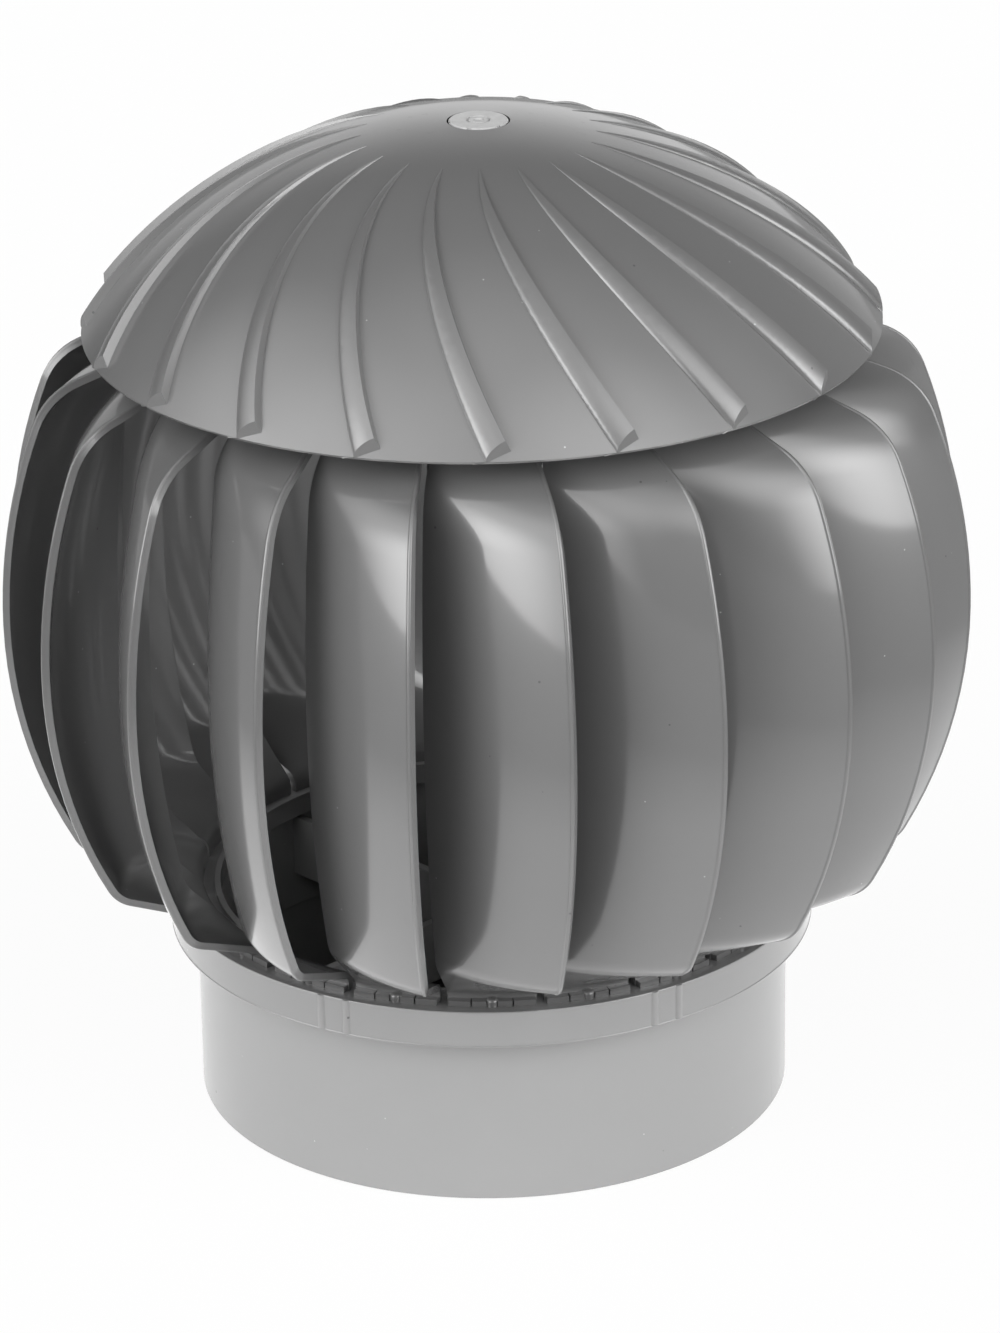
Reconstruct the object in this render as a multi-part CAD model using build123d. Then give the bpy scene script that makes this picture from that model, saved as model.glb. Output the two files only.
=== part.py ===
from build123d import *
import os
from math import atan2, cos, radians, sin, sqrt

# Rotating chimney cowl. Millimetres, +Z up, front at -Y.
# Origin: centre of the lower edge of the base tube. Azimuths run from the front towards +X.

# Base tube
tube_radius = 97.5
tube_wall = 3.5
socket_wall = 2.5
tube_height = 65.5
tube_edge = 0.8
socket_depth = 28.0
web_count = 4
web_angle = 45.0
web_thickness = 2.8
web_top = 61.5
hub_radius = 13.0
hub_foot_radius = 17.0

# Axle, nuts and washers
axle_radius = 4.0
nut_across_flats = 13.0
nut_height = 6.5
thin_nut_height = 4.0
washer_radius = 8.0
washer_thickness = 1.6
axle_fit = 0.02
axle_tail = 3.0
axle_clearance = 1.0

# Bearings
bearing_outer_radius = 9.5
bearing_width = 6.0
bearing_race_gap_radius = 6.2
bearing_running_gap = 0.05
bearing_span = 70.0
bearing_shoulder = 1.5
ring_clip_thickness = 1.0
ring_clip_radius = 6.0
spacer_radius = 5.6
seat_fit = 0.02

# Lower rotor ring
ring_rise = 3.8
ring_thickness = 2.3
ring_recess = 1.0
skirt_top_radius = 105.9
skirt_bottom_radius = 105.6
skirt_height = 12.6
skirt_wall = 2.4
skirt_lip = 0.8
inner_lip_radius = 91.5
inner_lip_wall = 2.0
inner_lip_drop = 5.8
inner_lip_rise = 1.4
grip_pairs = 6
grip_first_angle = 31.4
grip_half_spacing = 2.45
grip_width = 2.6
grip_height = 0.7

# Blades
blade_count = 20
blade_phase = 9.4
blade_thickness = 2.4
blade_tip_radius = 156.9
blade_middle_height = 171.5
blade_arc_radius = 82.0
blade_inward_angle = 26.5
blade_inner_angle = 76.0
blade_stations = 5
low_shoulder_share = 0.648
low_shoulder_height = 91.4
high_shoulder_share = 0.62
high_shoulder_height = 248.5
shoulder_fillet = 12.0
trim_allowance = 8.0
foot_radius = 97.5
foot_span = 16.6
head_radius = 104.0
tab_lag = 1.3
tab_reach = 2.4
tab_height = 2.0
tab_long_length = 7.0
tab_short_length = 4.6
tab_pitch = 5.95
tab_short_pitch = 2.35

# Cap
cap_rim_radius = 127.8
cap_rim_height = 262.9
cap_top_height = 330.0
cap_wall = 2.5
rim_edge = 0.7
cap_hole_radius = 10.0
cap_boss_wall = 3.5
cap_web_count = 10
cap_web_thickness = 2.2
boss_web_drop = 18.0
clip_land = 1.6
clip_groove = 0.5
seat_level = 267.5
seat_wall = 2.4
seat_rise = 1.2
swirl_start_radius = 37.0
swirl_end_radius = 125.6
swirl_turn_first = 0.115
swirl_turn_second = 0.00115
swirl_phase = 0.4
swirl_width = 7.8
swirl_height = 2.7
swirl_stations = 3
swirl_end_lean = 48.0

# Plug in the top
plug_radius = 9.45
plug_thickness = 1.8
plug_skirt_wall = 1.1
plug_ring_radius = 3.5
plug_dimple_radius = 1.7
plug_relief = 0.5
plug_edge = 0.4
plug_notches = 6

# Levels and sizes that follow from the ones above
tube_bore = tube_radius - tube_wall
socket_radius = tube_radius - socket_wall
ring_top = tube_height + ring_rise
ring_under = ring_top - ring_thickness
skirt_top = ring_top + ring_recess
skirt_bottom = skirt_top - skirt_height
head_slope = atan2(
    seat_level - high_shoulder_height, high_shoulder_share * (blade_tip_radius - head_radius))
head_depth = blade_thickness / sin(head_slope)
pitch = 360.0 / blade_count
dome_centre = (cap_top_height**2 - cap_rim_height**2 - cap_rim_radius**2) / (
    2 * (cap_top_height - cap_rim_height)
)
dome_radius = cap_top_height - dome_centre
dome_inner_radius = dome_radius - cap_wall
bearing_bore = bearing_outer_radius + seat_fit
nut_room = thin_nut_height + 2.0
upper_bearing_top = cap_top_height - plug_thickness - nut_room - 0.2
upper_bearing_bottom = upper_bearing_top - bearing_width
lower_bearing_top = upper_bearing_bottom - bearing_span
lower_bearing_bottom = lower_bearing_top - bearing_width
axle_top = upper_bearing_top + thin_nut_height + 1.0
axle_bottom = socket_depth + axle_clearance
hub_bottom = axle_bottom + axle_tail + nut_height + washer_thickness
shoulder_bore = bearing_outer_radius - bearing_shoulder
plug_floor = upper_bearing_top + 0.5
dome_top_room = cap_top_height - cap_wall


def at(radius, angle, height):
    """Point at a radius and an azimuth counted from the front towards +X."""
    return Vector(radius * sin(radians(angle)), -radius * cos(radians(angle)), height)


def turned(shape, angle):
    """The shape turned about the axle by an azimuth."""
    return Rot(0, 0, angle) * shape


def ring_solid(points):
    """Body of revolution from a closed (radius, height) outline."""
    outline = Plane.XZ * make_face(Polyline(*points, close=True))
    return revolve(outline, Axis.Z, 360)


def tube_solid(outer, inner, bottom, top):
    """Plain tube between two heights."""
    body = Cylinder(outer, top - bottom, align=(Align.CENTER, Align.CENTER, Align.MIN))
    bore = Cylinder(inner, top - bottom, align=(Align.CENTER, Align.CENTER, Align.MIN))
    return Pos(0, 0, bottom) * (body - bore)


# Base: tube, webs and hub in one moulding
def make_base():
    tube = ring_solid([
        (socket_radius, 0), (tube_radius, 0), (tube_radius, tube_height - tube_edge),
        (tube_radius - tube_edge, tube_height), (tube_bore, tube_height),
        (tube_bore, socket_depth), (socket_radius, socket_depth)])
    hub = Pos(0, 0, hub_bottom) * Cone(
        hub_foot_radius, hub_radius, web_top - hub_bottom,
        align=(Align.CENTER, Align.CENTER, Align.MIN))
    web = Pos(0, 0, hub_bottom) * Box(
        tube_bore + tube_wall / 2, web_thickness, web_top - hub_bottom,
        align=(Align.MIN, Align.CENTER, Align.MIN))
    base = tube + hub
    for index in range(web_count):
        base += turned(web, web_angle + index * 360 / web_count)
    bore = Pos(0, 0, hub_bottom) * Cylinder(
        axle_radius + axle_fit, web_top - hub_bottom,
        align=(Align.CENTER, Align.CENTER, Align.MIN))
    return base - bore


# Axle and what is on it
def make_axle():
    rod = Pos(0, 0, axle_bottom) * Cylinder(
        axle_radius, axle_top - axle_bottom, align=(Align.CENTER, Align.CENTER, Align.MIN))
    return chamfer(rod.edges().group_by(Axis.Z)[-1], 0.6)


def make_washer(bottom):
    return tube_solid(washer_radius, axle_radius + axle_fit, bottom, bottom + washer_thickness)


def make_nut(bottom, height):
    hexagon = RegularPolygon(nut_across_flats / 2, 6, major_radius=False)
    nut = Pos(0, 0, bottom) * extrude(hexagon, height)
    nut -= Pos(0, 0, bottom) * Cylinder(
        axle_radius + axle_fit, height, align=(Align.CENTER, Align.CENTER, Align.MIN))
    corner = nut_across_flats / 2 / cos(radians(30))
    bevel = Pos(0, 0, bottom) * Cone(
        corner + height, corner - 0.9, height + 0.9,
        align=(Align.CENTER, Align.CENTER, Align.MIN))
    return nut & bevel


def make_inner_race(bottom):
    return tube_solid(
        bearing_race_gap_radius - bearing_running_gap, axle_radius + axle_fit,
        bottom, bottom + bearing_width)


def make_outer_race(bottom):
    """Outer race with its shields in one plain ring."""
    return tube_solid(bearing_outer_radius, bearing_race_gap_radius, bottom, bottom + bearing_width)


# Lower rotor ring: flange, skirt outside the tube and lip inside it
def make_lower_ring():
    skirt_inner_top = skirt_top_radius - skirt_wall
    skirt_inner_bottom = skirt_bottom_radius - skirt_wall + 0.4
    lip_inner = inner_lip_radius - inner_lip_wall
    ring = ring_solid([
        (skirt_bottom_radius + skirt_lip / 4, skirt_bottom + skirt_lip),
        (skirt_bottom_radius - skirt_lip / 2, skirt_bottom),
        (skirt_inner_bottom, skirt_bottom),
        (skirt_inner_top, ring_under),
        (inner_lip_radius, ring_under),
        (inner_lip_radius, ring_top - inner_lip_drop),
        (lip_inner, ring_top - inner_lip_drop),
        (lip_inner, ring_top + inner_lip_rise),
        (inner_lip_radius, ring_top + inner_lip_rise),
        (inner_lip_radius, ring_top),
        (skirt_inner_top, ring_top),
        (skirt_inner_top, skirt_top),
        (skirt_top_radius, skirt_top)])
    for pair in range(grip_pairs):
        for side in (-1, 1):
            angle = grip_first_angle + pair * 360 / grip_pairs + side * grip_half_spacing
            ring += turned(make_grip_rib(), angle)
    return ring


def make_grip_rib():
    """Half-round rib up the skirt, its axis inside the skirt wall."""
    half = grip_width / 2
    radius = (half**2 + grip_height**2) / (2 * grip_height)
    low = skirt_bottom + skirt_lip
    rib = Cylinder(radius, skirt_top - low, align=(Align.CENTER, Align.CENTER, Align.MIN))
    return Pos(0, radius - skirt_top_radius - grip_height, low) * rib


# Blades: a bowed sheet lofted through upright profiles that turn inwards behind the free edge.
# Plan positions of a blade at azimuth 0 are vectors of outwards and behind.
def world_point(plan, height):
    """A plan position at a height, in the part's frame."""
    return Vector(-plan.Y, -plan.X, height)


def blade_middle(share):
    """Plan position of the mid-height line, an arc that turns ever more inward."""
    first = radians(blade_inward_angle)
    last = first + share * radians(blade_inner_angle - blade_inward_angle)
    behind = blade_arc_radius * (sin(last) - sin(first))
    inward = blade_arc_radius * (cos(first) - cos(last))
    return Vector(blade_tip_radius - inward, behind)


def tangent_corner(foot, corner, centre, radius, fillet_radius):
    """Tangent points and middle of the arc that joins a straight wall to the bowed sheet."""
    along = (corner - foot).normalized()
    inner = Vector(-along.Y, along.X)
    if inner.dot(centre - foot) < 0:
        inner = inner * -1
    start = foot + inner * fillet_radius - centre
    half = start.dot(along)
    reach = -half + sqrt(half**2 - start.dot(start) + (radius - fillet_radius)**2)
    middle = foot + along * reach + inner * fillet_radius
    wall_point = foot + along * reach
    arc_point = centre + (middle - centre).normalized() * radius
    bow = middle + ((wall_point + arc_point) * 0.5 - middle).normalized() * fillet_radius
    return wall_point, bow, arc_point


def half_profile(root, middle, level, shoulder, share):
    """Points of one half of the outer curve, from below its root to the crown."""
    across = middle - root
    reach, outward = across.length, across.normalized()
    sagitta = (1 - share) * reach
    half_height = blade_middle_height - shoulder
    radius = (half_height**2 + sagitta**2) / (2 * sagitta)
    centre = Vector(reach - radius, blade_middle_height)
    foot, corner = Vector(0, level), Vector(share * reach, shoulder)
    wall, bow, arc = tangent_corner(foot, corner, centre, radius, shoulder_fillet)
    tail = foot + (foot - wall).normalized() * trim_allowance
    crown = Vector(reach, blade_middle_height)
    between = centre + ((arc + crown) * 0.5 - centre).normalized() * radius
    flat = [tail, (tail + wall) * 0.5, wall, bow, arc, between, crown]
    return [world_point(root + outward * point.X, point.Y) for point in flat]


def blade_profile(share):
    """Upright curve of the outer face: wall, corner, bow, corner, wall."""
    lag = radians(share * foot_span)
    turn = Vector(cos(lag), sin(lag))
    middle = blade_middle(share)
    low = half_profile(
        turn * foot_radius, middle, ring_top, low_shoulder_height, low_shoulder_share)
    high = half_profile(
        turn * head_radius, middle, seat_level, high_shoulder_height, high_shoulder_share)
    points = low + high[-2::-1]
    curve = Spline(*points, tangents=[points[1] - points[0], points[-1] - points[-2]])
    return Wire(curve.edges())


def make_blade():
    """One blade with its free edge at azimuth 0: a sheet of even wall and its foot tabs."""
    skin = Shell.make_loft(
        [blade_profile(index / (blade_stations - 1)) for index in range(blade_stations)])
    size = 3 * blade_tip_radius
    blade = thicken(skin.faces()[0], -blade_thickness) & Pos(0, 0, ring_top) * Box(
        size, size, seat_level - ring_top, align=(Align.CENTER, Align.CENTER, Align.MIN))
    middle = -foot_span / 2 - tab_lag
    tab_depth = tab_reach + blade_thickness / 2
    for length, offset in ((tab_long_length, tab_pitch), (tab_short_length, tab_short_pitch)):
        tab = Location((0, -foot_radius - tab_reach, ring_top)) * Box(
            length, tab_depth, tab_height, align=(Align.CENTER, Align.MIN, Align.MIN))
        blade += [turned(tab, middle + side * offset) for side in (-1, 1)]
    return blade


# Cap: domed shell with swirl ribs, bearing housing, webs and the seat for the blade heads
def dome_height(radius, shell=0.0):
    """Height of the dome surface, or of a surface that far inside it."""
    return dome_centre + sqrt((dome_radius - shell)**2 - radius**2)


def swirl_angle(radius):
    reach = radius - swirl_start_radius
    return swirl_phase + swirl_turn_first * reach + swirl_turn_second * reach**2


def swirl_section(radius, lean=0.0):
    """Wedge section of a swirl rib, steep on one side and bowed on the other."""
    step = 0.5
    point = at(radius, swirl_angle(radius), dome_height(radius))
    ahead = at(radius + step, swirl_angle(radius + step), dome_height(radius + step))
    forward = (ahead - point).normalized()
    upward = (point - Vector(0, 0, dome_centre)).normalized()
    side = forward.cross(upward).normalized()
    if side.dot(at(1, swirl_angle(radius) + 90, 0)) > 0:
        side = side * -1
    share = (radius - swirl_start_radius) / (swirl_end_radius - swirl_start_radius)
    width = 0.4 + (swirl_width - 0.4) * share**0.7
    height = 0.1 + (swirl_height - 0.1) * share**0.8
    up = upward * cos(radians(lean)) - forward * sin(radians(lean))
    tall = height / cos(radians(lean))
    root = -cap_wall / 3
    steep = 0.25 * height
    outline = [
        Line((-steep, root), (-steep, 0)), Line((-steep, 0), (0, tall)),
        Spline((0, tall), (0.6 * width, 0.74 * tall), (width, 0), tangents=[(1, 0), (1, -3)]),
        Line((width, 0), (width, root)), Line((width, root), (-steep, root))]
    plane = Plane(origin=point, x_dir=side, z_dir=side.cross(up))
    return plane * make_face(Curve() + outline)


def make_swirl_rib():
    span = swirl_end_radius - swirl_start_radius
    stations = [
        swirl_start_radius + span * index / swirl_stations for index in range(swirl_stations)]
    sections = [swirl_section(radius) for radius in stations]
    return loft(sections + [swirl_section(swirl_end_radius, swirl_end_lean)])


def make_cap():
    low = cap_rim_height
    outer_rim = sqrt(dome_radius**2 - (low + rim_edge - dome_centre)**2)
    inner_rim = sqrt(dome_inner_radius**2 - (low - dome_centre)**2)
    hole = cap_hole_radius
    half = (hole + cap_rim_radius) / 2
    shell = make_face(Curve() + [
        ThreePointArc(
            (hole, dome_height(hole)), (half, dome_height(half)), (outer_rim, low + rim_edge)),
        Line((outer_rim, low + rim_edge), (outer_rim - rim_edge / 2, low)),
        Line((outer_rim - rim_edge / 2, low), (inner_rim, low)),
        ThreePointArc(
            (inner_rim, low), (half, dome_height(half, cap_wall)),
            (hole, dome_height(hole, cap_wall))),
        Line((hole, dome_height(hole, cap_wall)), (hole, dome_height(hole)))])
    cap = revolve(Plane.XZ * shell, Axis.Z, 360)
    rib = make_swirl_rib()
    cap += [turned(rib, index * pitch) for index in range(blade_count)]
    seat_out = head_radius - head_depth / 2 + seat_wall / 2
    cap += ring_solid([
        (head_radius + seat_rise, seat_level), (head_radius + seat_rise, seat_level + seat_wall),
        (seat_out, seat_level + seat_wall), (seat_out, dome_height(seat_out, cap_wall / 2)),
        (seat_out - seat_wall, dome_height(seat_out, cap_wall / 2)),
        (seat_out - seat_wall, seat_level + seat_wall),
        (head_radius - head_depth - seat_rise, seat_level + seat_wall),
        (head_radius - head_depth - seat_rise, seat_level)])
    boss_outer = bearing_bore + cap_boss_wall
    boss_low = lower_bearing_bottom - ring_clip_thickness - clip_land
    cap += tube_solid(
        boss_outer, shoulder_bore, boss_low, dome_height(boss_outer, cap_wall / 2))
    web_face = Plane.XZ * make_face(Polyline(
        (boss_outer - 1, boss_low + boss_web_drop), (boss_outer + 6, boss_low + boss_web_drop),
        (seat_out - seat_wall, seat_level + seat_wall * 2), (seat_out - seat_wall, dome_top_room),
        (boss_outer - 1, dome_top_room), close=True))
    web = extrude(web_face, cap_web_thickness / 2, both=True) & (
        Pos(0, 0, dome_centre) * Sphere(dome_radius - cap_wall / 2))
    cap += [turned(web, index * 360 / cap_web_count) for index in range(cap_web_count)]
    for bottom, top, radius in (
            (upper_bearing_bottom, plug_floor, bearing_bore),
            (plug_floor, cap_top_height, cap_hole_radius),
            (boss_low, lower_bearing_top, bearing_bore),
            (lower_bearing_bottom - ring_clip_thickness, lower_bearing_bottom,
             bearing_bore + clip_groove)):
        cap -= Pos(0, 0, bottom) * Cylinder(
            radius, top - bottom, align=(Align.CENTER, Align.CENTER, Align.MIN))
    return cap


def make_top_plug():
    """Round snap-in disc with a skirt that stands on the upper bearing."""
    base = cap_top_height - plug_thickness
    recess = cap_top_height - plug_relief
    plug = ring_solid([
        (0, base), (plug_radius - plug_skirt_wall, base),
        (plug_radius - plug_skirt_wall, upper_bearing_top), (plug_radius, upper_bearing_top),
        (plug_radius, cap_top_height - plug_edge), (plug_radius - plug_edge, cap_top_height),
        (plug_ring_radius + plug_relief, cap_top_height), (plug_ring_radius, recess),
        (plug_ring_radius - plug_relief, cap_top_height), (plug_dimple_radius, cap_top_height),
        (plug_dimple_radius - plug_relief, recess), (0, recess)])
    notch = Pos(plug_radius, 0, cap_top_height - 0.7) * Box(
        0.9, 1.3, 0.7, align=(Align.CENTER, Align.CENTER, Align.MIN))
    for index in range(plug_notches):
        plug -= turned(notch, 12 + index * 360 / plug_notches)
    return plug


# Nodes
def make_nodes():
    """Every piece under its node name."""
    nodes = {
        "base_tube": make_base(),
        "axle": make_axle(),
        "hub_washer_lower": make_washer(hub_bottom - washer_thickness),
        "hub_nut_lower": make_nut(hub_bottom - washer_thickness - nut_height, nut_height),
        "hub_washer_upper": make_washer(web_top),
        "hub_nut_upper": make_nut(web_top + washer_thickness, nut_height),
        "axle_clip": tube_solid(
            ring_clip_radius, axle_radius + axle_fit,
            lower_bearing_bottom - ring_clip_thickness, lower_bearing_bottom),
        "bearing_lower_inner": make_inner_race(lower_bearing_bottom),
        "bearing_upper_inner": make_inner_race(upper_bearing_bottom),
        "bearing_spacer": tube_solid(
            spacer_radius, axle_radius + axle_fit, lower_bearing_top, upper_bearing_bottom),
        "axle_nut": make_nut(upper_bearing_top, thin_nut_height),
        "lower_ring": make_lower_ring(),
        "cap": make_cap(),
        "bearing_lower_outer": make_outer_race(lower_bearing_bottom),
        "bearing_upper_outer": make_outer_race(upper_bearing_bottom),
        "housing_clip": tube_solid(
            bearing_bore + clip_groove - 0.1, shoulder_bore,
            lower_bearing_bottom - ring_clip_thickness, lower_bearing_bottom),
        "top_plug": make_top_plug(),
    }
    blade = make_blade()
    for index in range(blade_count):
        nodes[f"blade_{index + 1:02d}"] = turned(blade, blade_phase + index * pitch)
    return nodes


os.makedirs("parts", exist_ok=True)
for name, shape in make_nodes().items():
    export_step(shape, f"parts/{name}.step")
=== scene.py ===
"""Studio scene of a rotating chimney cowl in moulded grey plastic, on a plain pale floor."""
import logging
import math
from dataclasses import dataclass, field
from enum import Enum
from typing import Any, Mapping, Sequence, Union

import bmesh
import bpy
from mathutils import Matrix, Vector


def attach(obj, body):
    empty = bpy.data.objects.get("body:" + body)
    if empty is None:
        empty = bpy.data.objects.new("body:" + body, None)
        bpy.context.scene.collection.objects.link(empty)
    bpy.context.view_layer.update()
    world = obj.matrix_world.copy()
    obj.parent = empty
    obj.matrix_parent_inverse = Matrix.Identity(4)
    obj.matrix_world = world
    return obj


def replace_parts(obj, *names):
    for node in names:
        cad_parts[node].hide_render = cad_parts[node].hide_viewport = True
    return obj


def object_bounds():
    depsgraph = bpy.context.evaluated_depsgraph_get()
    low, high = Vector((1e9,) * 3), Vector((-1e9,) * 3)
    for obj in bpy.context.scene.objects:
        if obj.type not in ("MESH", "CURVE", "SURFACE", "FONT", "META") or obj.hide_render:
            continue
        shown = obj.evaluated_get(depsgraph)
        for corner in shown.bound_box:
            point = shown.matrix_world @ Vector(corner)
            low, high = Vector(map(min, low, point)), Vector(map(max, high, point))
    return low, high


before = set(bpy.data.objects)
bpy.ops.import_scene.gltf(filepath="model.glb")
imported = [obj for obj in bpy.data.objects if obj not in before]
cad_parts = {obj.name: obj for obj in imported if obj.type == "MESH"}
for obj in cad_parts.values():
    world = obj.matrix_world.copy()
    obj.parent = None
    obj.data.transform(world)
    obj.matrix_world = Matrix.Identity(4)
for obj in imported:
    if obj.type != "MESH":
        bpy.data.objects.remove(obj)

CAD_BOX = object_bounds()
LOG = logging.getLogger("cowl")
MM = 0.001
ROTOR = "rotor"
SHARP_ANGLE = math.radians(50)
FRONT = -math.pi / 2
BEVEL_SAMPLES = 4
DISC_SEGMENTS = 96
MIX_INPUTS = (0, 6, 7)  # factor, first and second colour
MIX_RESULT = 2
Colour = Union[Sequence[float], bpy.types.NodeSocket]


class Maths(Enum):
    """Math node operations that the finishes use."""

    ADD = "ADD"
    SUBTRACT = "SUBTRACT"
    MULTIPLY = "MULTIPLY"
    DIVIDE = "DIVIDE"
    POWER = "POWER"
    LESS = "LESS_THAN"
    GREATER = "GREATER_THAN"
    FRACTION = "FRACT"


@dataclass(frozen=True)
class Cloud:
    """Cloudy noise.

    Attributes:
        scale: how many clouds go to a metre.
        detail: how many finer layers lie on it.
        weight: how far it counts.
        stretch: a factor along each axis, below 1 where the clouds are long.
    """

    scale: float
    detail: float = 2.0
    weight: float = 1.0
    stretch: tuple[float, float, float] = (1.0, 1.0, 1.0)


@dataclass(frozen=True)
class Speckle:
    """Sparse round specks.

    Attributes:
        scale: how many cells go to a metre.
        size: a speck's radius as a share of a cell.
        share: how many of the cells hold a speck, from 0 to 1.
        strength: how far a speck covers the plastic, from 0 to 1.
        level: linear grey of a speck.
    """

    scale: float
    size: float
    share: float
    strength: float
    level: float


class Value:
    """A number on a shader socket, which adds Math nodes when it meets Python's operators."""

    def __init__(self, graph: "Graph", socket: bpy.types.NodeSocket) -> None:
        """Keeps the number's place.

        Args:
            graph: where its nodes go.
            socket: the output that carries the number.
        """
        self.graph = graph
        self.socket = socket

    def maths(self, operation: Maths, *operands: "Value | float", clamp: bool = False) -> "Value":
        """Adds one Math node.

        Args:
            operation: what the node works out.
            operands: its numbers or sockets in order.
            clamp: whether the result is held between 0 and 1.

        Returns:
            The node's result.
        """
        node = self.graph.node(
            "ShaderNodeMath", {"operation": operation.value, "use_clamp": clamp},
            dict(enumerate(operands)))
        return Value(self.graph, node.outputs[0])

    def __add__(self, other: "Value | float") -> "Value":
        """Returns: this plus other."""
        return self.maths(Maths.ADD, self, other)

    __radd__ = __add__

    def __sub__(self, other: "Value | float") -> "Value":
        """Returns: this less other."""
        return self.maths(Maths.SUBTRACT, self, other)

    def __rsub__(self, other: float) -> "Value":
        """Returns: other less this."""
        return self.maths(Maths.SUBTRACT, other, self)

    def __mul__(self, other: "Value | float") -> "Value":
        """Returns: this times other."""
        return self.maths(Maths.MULTIPLY, self, other)

    def __truediv__(self, other: "Value | float") -> "Value":
        """Returns: this over other."""
        return self.maths(Maths.DIVIDE, self, other)

    def __pow__(self, other: float) -> "Value":
        """Returns: this to the power of other."""
        return self.maths(Maths.POWER, self, other)

    def __lt__(self, other: "Value | float") -> "Value":
        """Returns: 1 where this is less than other."""
        return self.maths(Maths.LESS, self, other)

    def __gt__(self, other: "Value | float") -> "Value":
        """Returns: 1 where this is more than other."""
        return self.maths(Maths.GREATER, self, other)

    def held(self) -> "Value":
        """Returns: this number held between 0 and 1."""
        return self.maths(Maths.ADD, self, 0.0, clamp=True)

    def fraction(self) -> "Value":
        """Returns: what lies behind this number's decimal point."""
        return self.maths(Maths.FRACTION, self)


class Graph:
    """The node tree of one material, with one method that adds any node."""

    def __init__(self, tree: bpy.types.NodeTree) -> None:
        """Empties the tree.

        Args:
            tree: the tree to fill.
        """
        self.tree = tree
        tree.nodes.clear()

    def node(
        self, kind: str, settings: Mapping[str, Any] | None = None,
        inputs: Mapping[str | int, Any] | None = None,
    ) -> bpy.types.Node:
        """Adds one node.

        Args:
            kind: Blender's name of the node's type.
            settings: its own properties, which are set first.
            inputs: what goes to each socket: a number, a tuple, a Value or an output socket.

        Returns:
            The node.
        """
        made = self.tree.nodes.new(kind)
        for name, setting in (settings or {}).items():
            setattr(made, name, setting)
        for name, given in (inputs or {}).items():
            self.feed(made, name, given)
        return made

    def feed(self, node: bpy.types.Node, name: str | int, given: Any) -> None:
        """Gives one socket of a node its number or its link.

        Args:
            node: the node.
            name: of its socket, or the socket's place.
            given: a number, a tuple, a Value or an output socket.
        """
        socket = node.inputs[name]
        if isinstance(given, Value):
            self.tree.links.new(given.socket, socket)
        elif isinstance(given, bpy.types.NodeSocket):
            self.tree.links.new(given, socket)
        else:
            socket.default_value = given

    def place(self) -> bpy.types.NodeSocket:
        """Returns: the point on the piece, in metres in the piece's own frame."""
        return self.node("ShaderNodeTexCoord").outputs["Object"]

    def axes(self) -> tuple[Value, Value, Value]:
        """Returns: the point on the piece as three numbers."""
        apart = self.node("ShaderNodeSeparateXYZ", None, {0: self.place()})
        return tuple(Value(self, apart.outputs[index]) for index in range(3))

    def noise(self, cloud: Cloud) -> Value:
        """Adds cloudy noise.

        Args:
            cloud: its sizes.

        Returns:
            The noise, about 0.5 on average.
        """
        spread = self.node(
            "ShaderNodeVectorMath", {"operation": "MULTIPLY"},
            {0: self.place(), 1: cloud.stretch})
        made = self.node(
            "ShaderNodeTexNoise", None,
            {"Vector": spread.outputs[0], "Scale": cloud.scale, "Detail": cloud.detail})
        return Value(self, made.outputs["Fac"])

    def layers(self, clouds: Sequence[Cloud]) -> Value:
        """Adds up layers of noise.

        Args:
            clouds: the layers.

        Returns:
            Their sum, each times its weight.
        """
        first, *others = (self.noise(cloud) * cloud.weight for cloud in clouds)
        return sum(others, first)

    def specks(self, speckle: Speckle) -> Value:
        """Adds sparse round specks.

        Args:
            speckle: their sizes.

        Returns:
            Their strength on a speck and 0 elsewhere.
        """
        cells = self.node(
            "ShaderNodeTexVoronoi", {"feature": "F1"},
            {"Vector": self.place(), "Scale": speckle.scale})
        chance = self.node("ShaderNodeSeparateColor", None, {0: cells.outputs["Color"]})
        inside = Value(self, cells.outputs["Distance"]) < speckle.size
        return inside * (Value(self, chance.outputs[0]) < speckle.share) * speckle.strength

    def rounded(self, radius: float) -> bpy.types.NodeSocket:
        """Rounds the sharp edges in the shading.

        Args:
            radius: of the rounding, in metres.
        """
        return self.node(
            "ShaderNodeBevel", {"samples": BEVEL_SAMPLES}, {"Radius": radius}).outputs[0]

    def relief(
        self, height: Value, strength: float, depth: float, edge: float,
    ) -> bpy.types.NodeSocket:
        """Raises a fine relief in the shading, over rounded edges.

        Args:
            height: of the relief, from 0 to 1.
            strength: how far it shows, from 0 to 1.
            depth: how deep it is, in metres.
            edge: radius of the rounded edges, in metres.

        Returns:
            The surface's direction.
        """
        rounded = self.rounded(edge)
        bump = self.node("ShaderNodeBump", None, {
            "Strength": strength, "Distance": depth, "Height": height, "Normal": rounded})
        return bump.outputs[0]

    def blend(self, factor: Value, first: Colour, second: Colour) -> bpy.types.NodeSocket:
        """Mixes two colours.

        Args:
            factor: 0 for the first and 1 for the second.
            first: a colour of three numbers, or an output socket.
            second: another.

        Returns:
            The mixed colour.
        """
        colours = [
            colour if isinstance(colour, bpy.types.NodeSocket) else (*colour, 1.0)
            for colour in (first, second)]
        mix = self.node(
            "ShaderNodeMix", {"data_type": "RGBA"}, dict(zip(MIX_INPUTS, (factor, *colours))))
        return mix.outputs[MIX_RESULT]


def grey(level: float) -> tuple[float, float, float]:
    """Makes a colour of a grey.

    Args:
        level: the grey, linear.

    Returns:
        The colour.
    """
    return (level, level, level)


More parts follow.
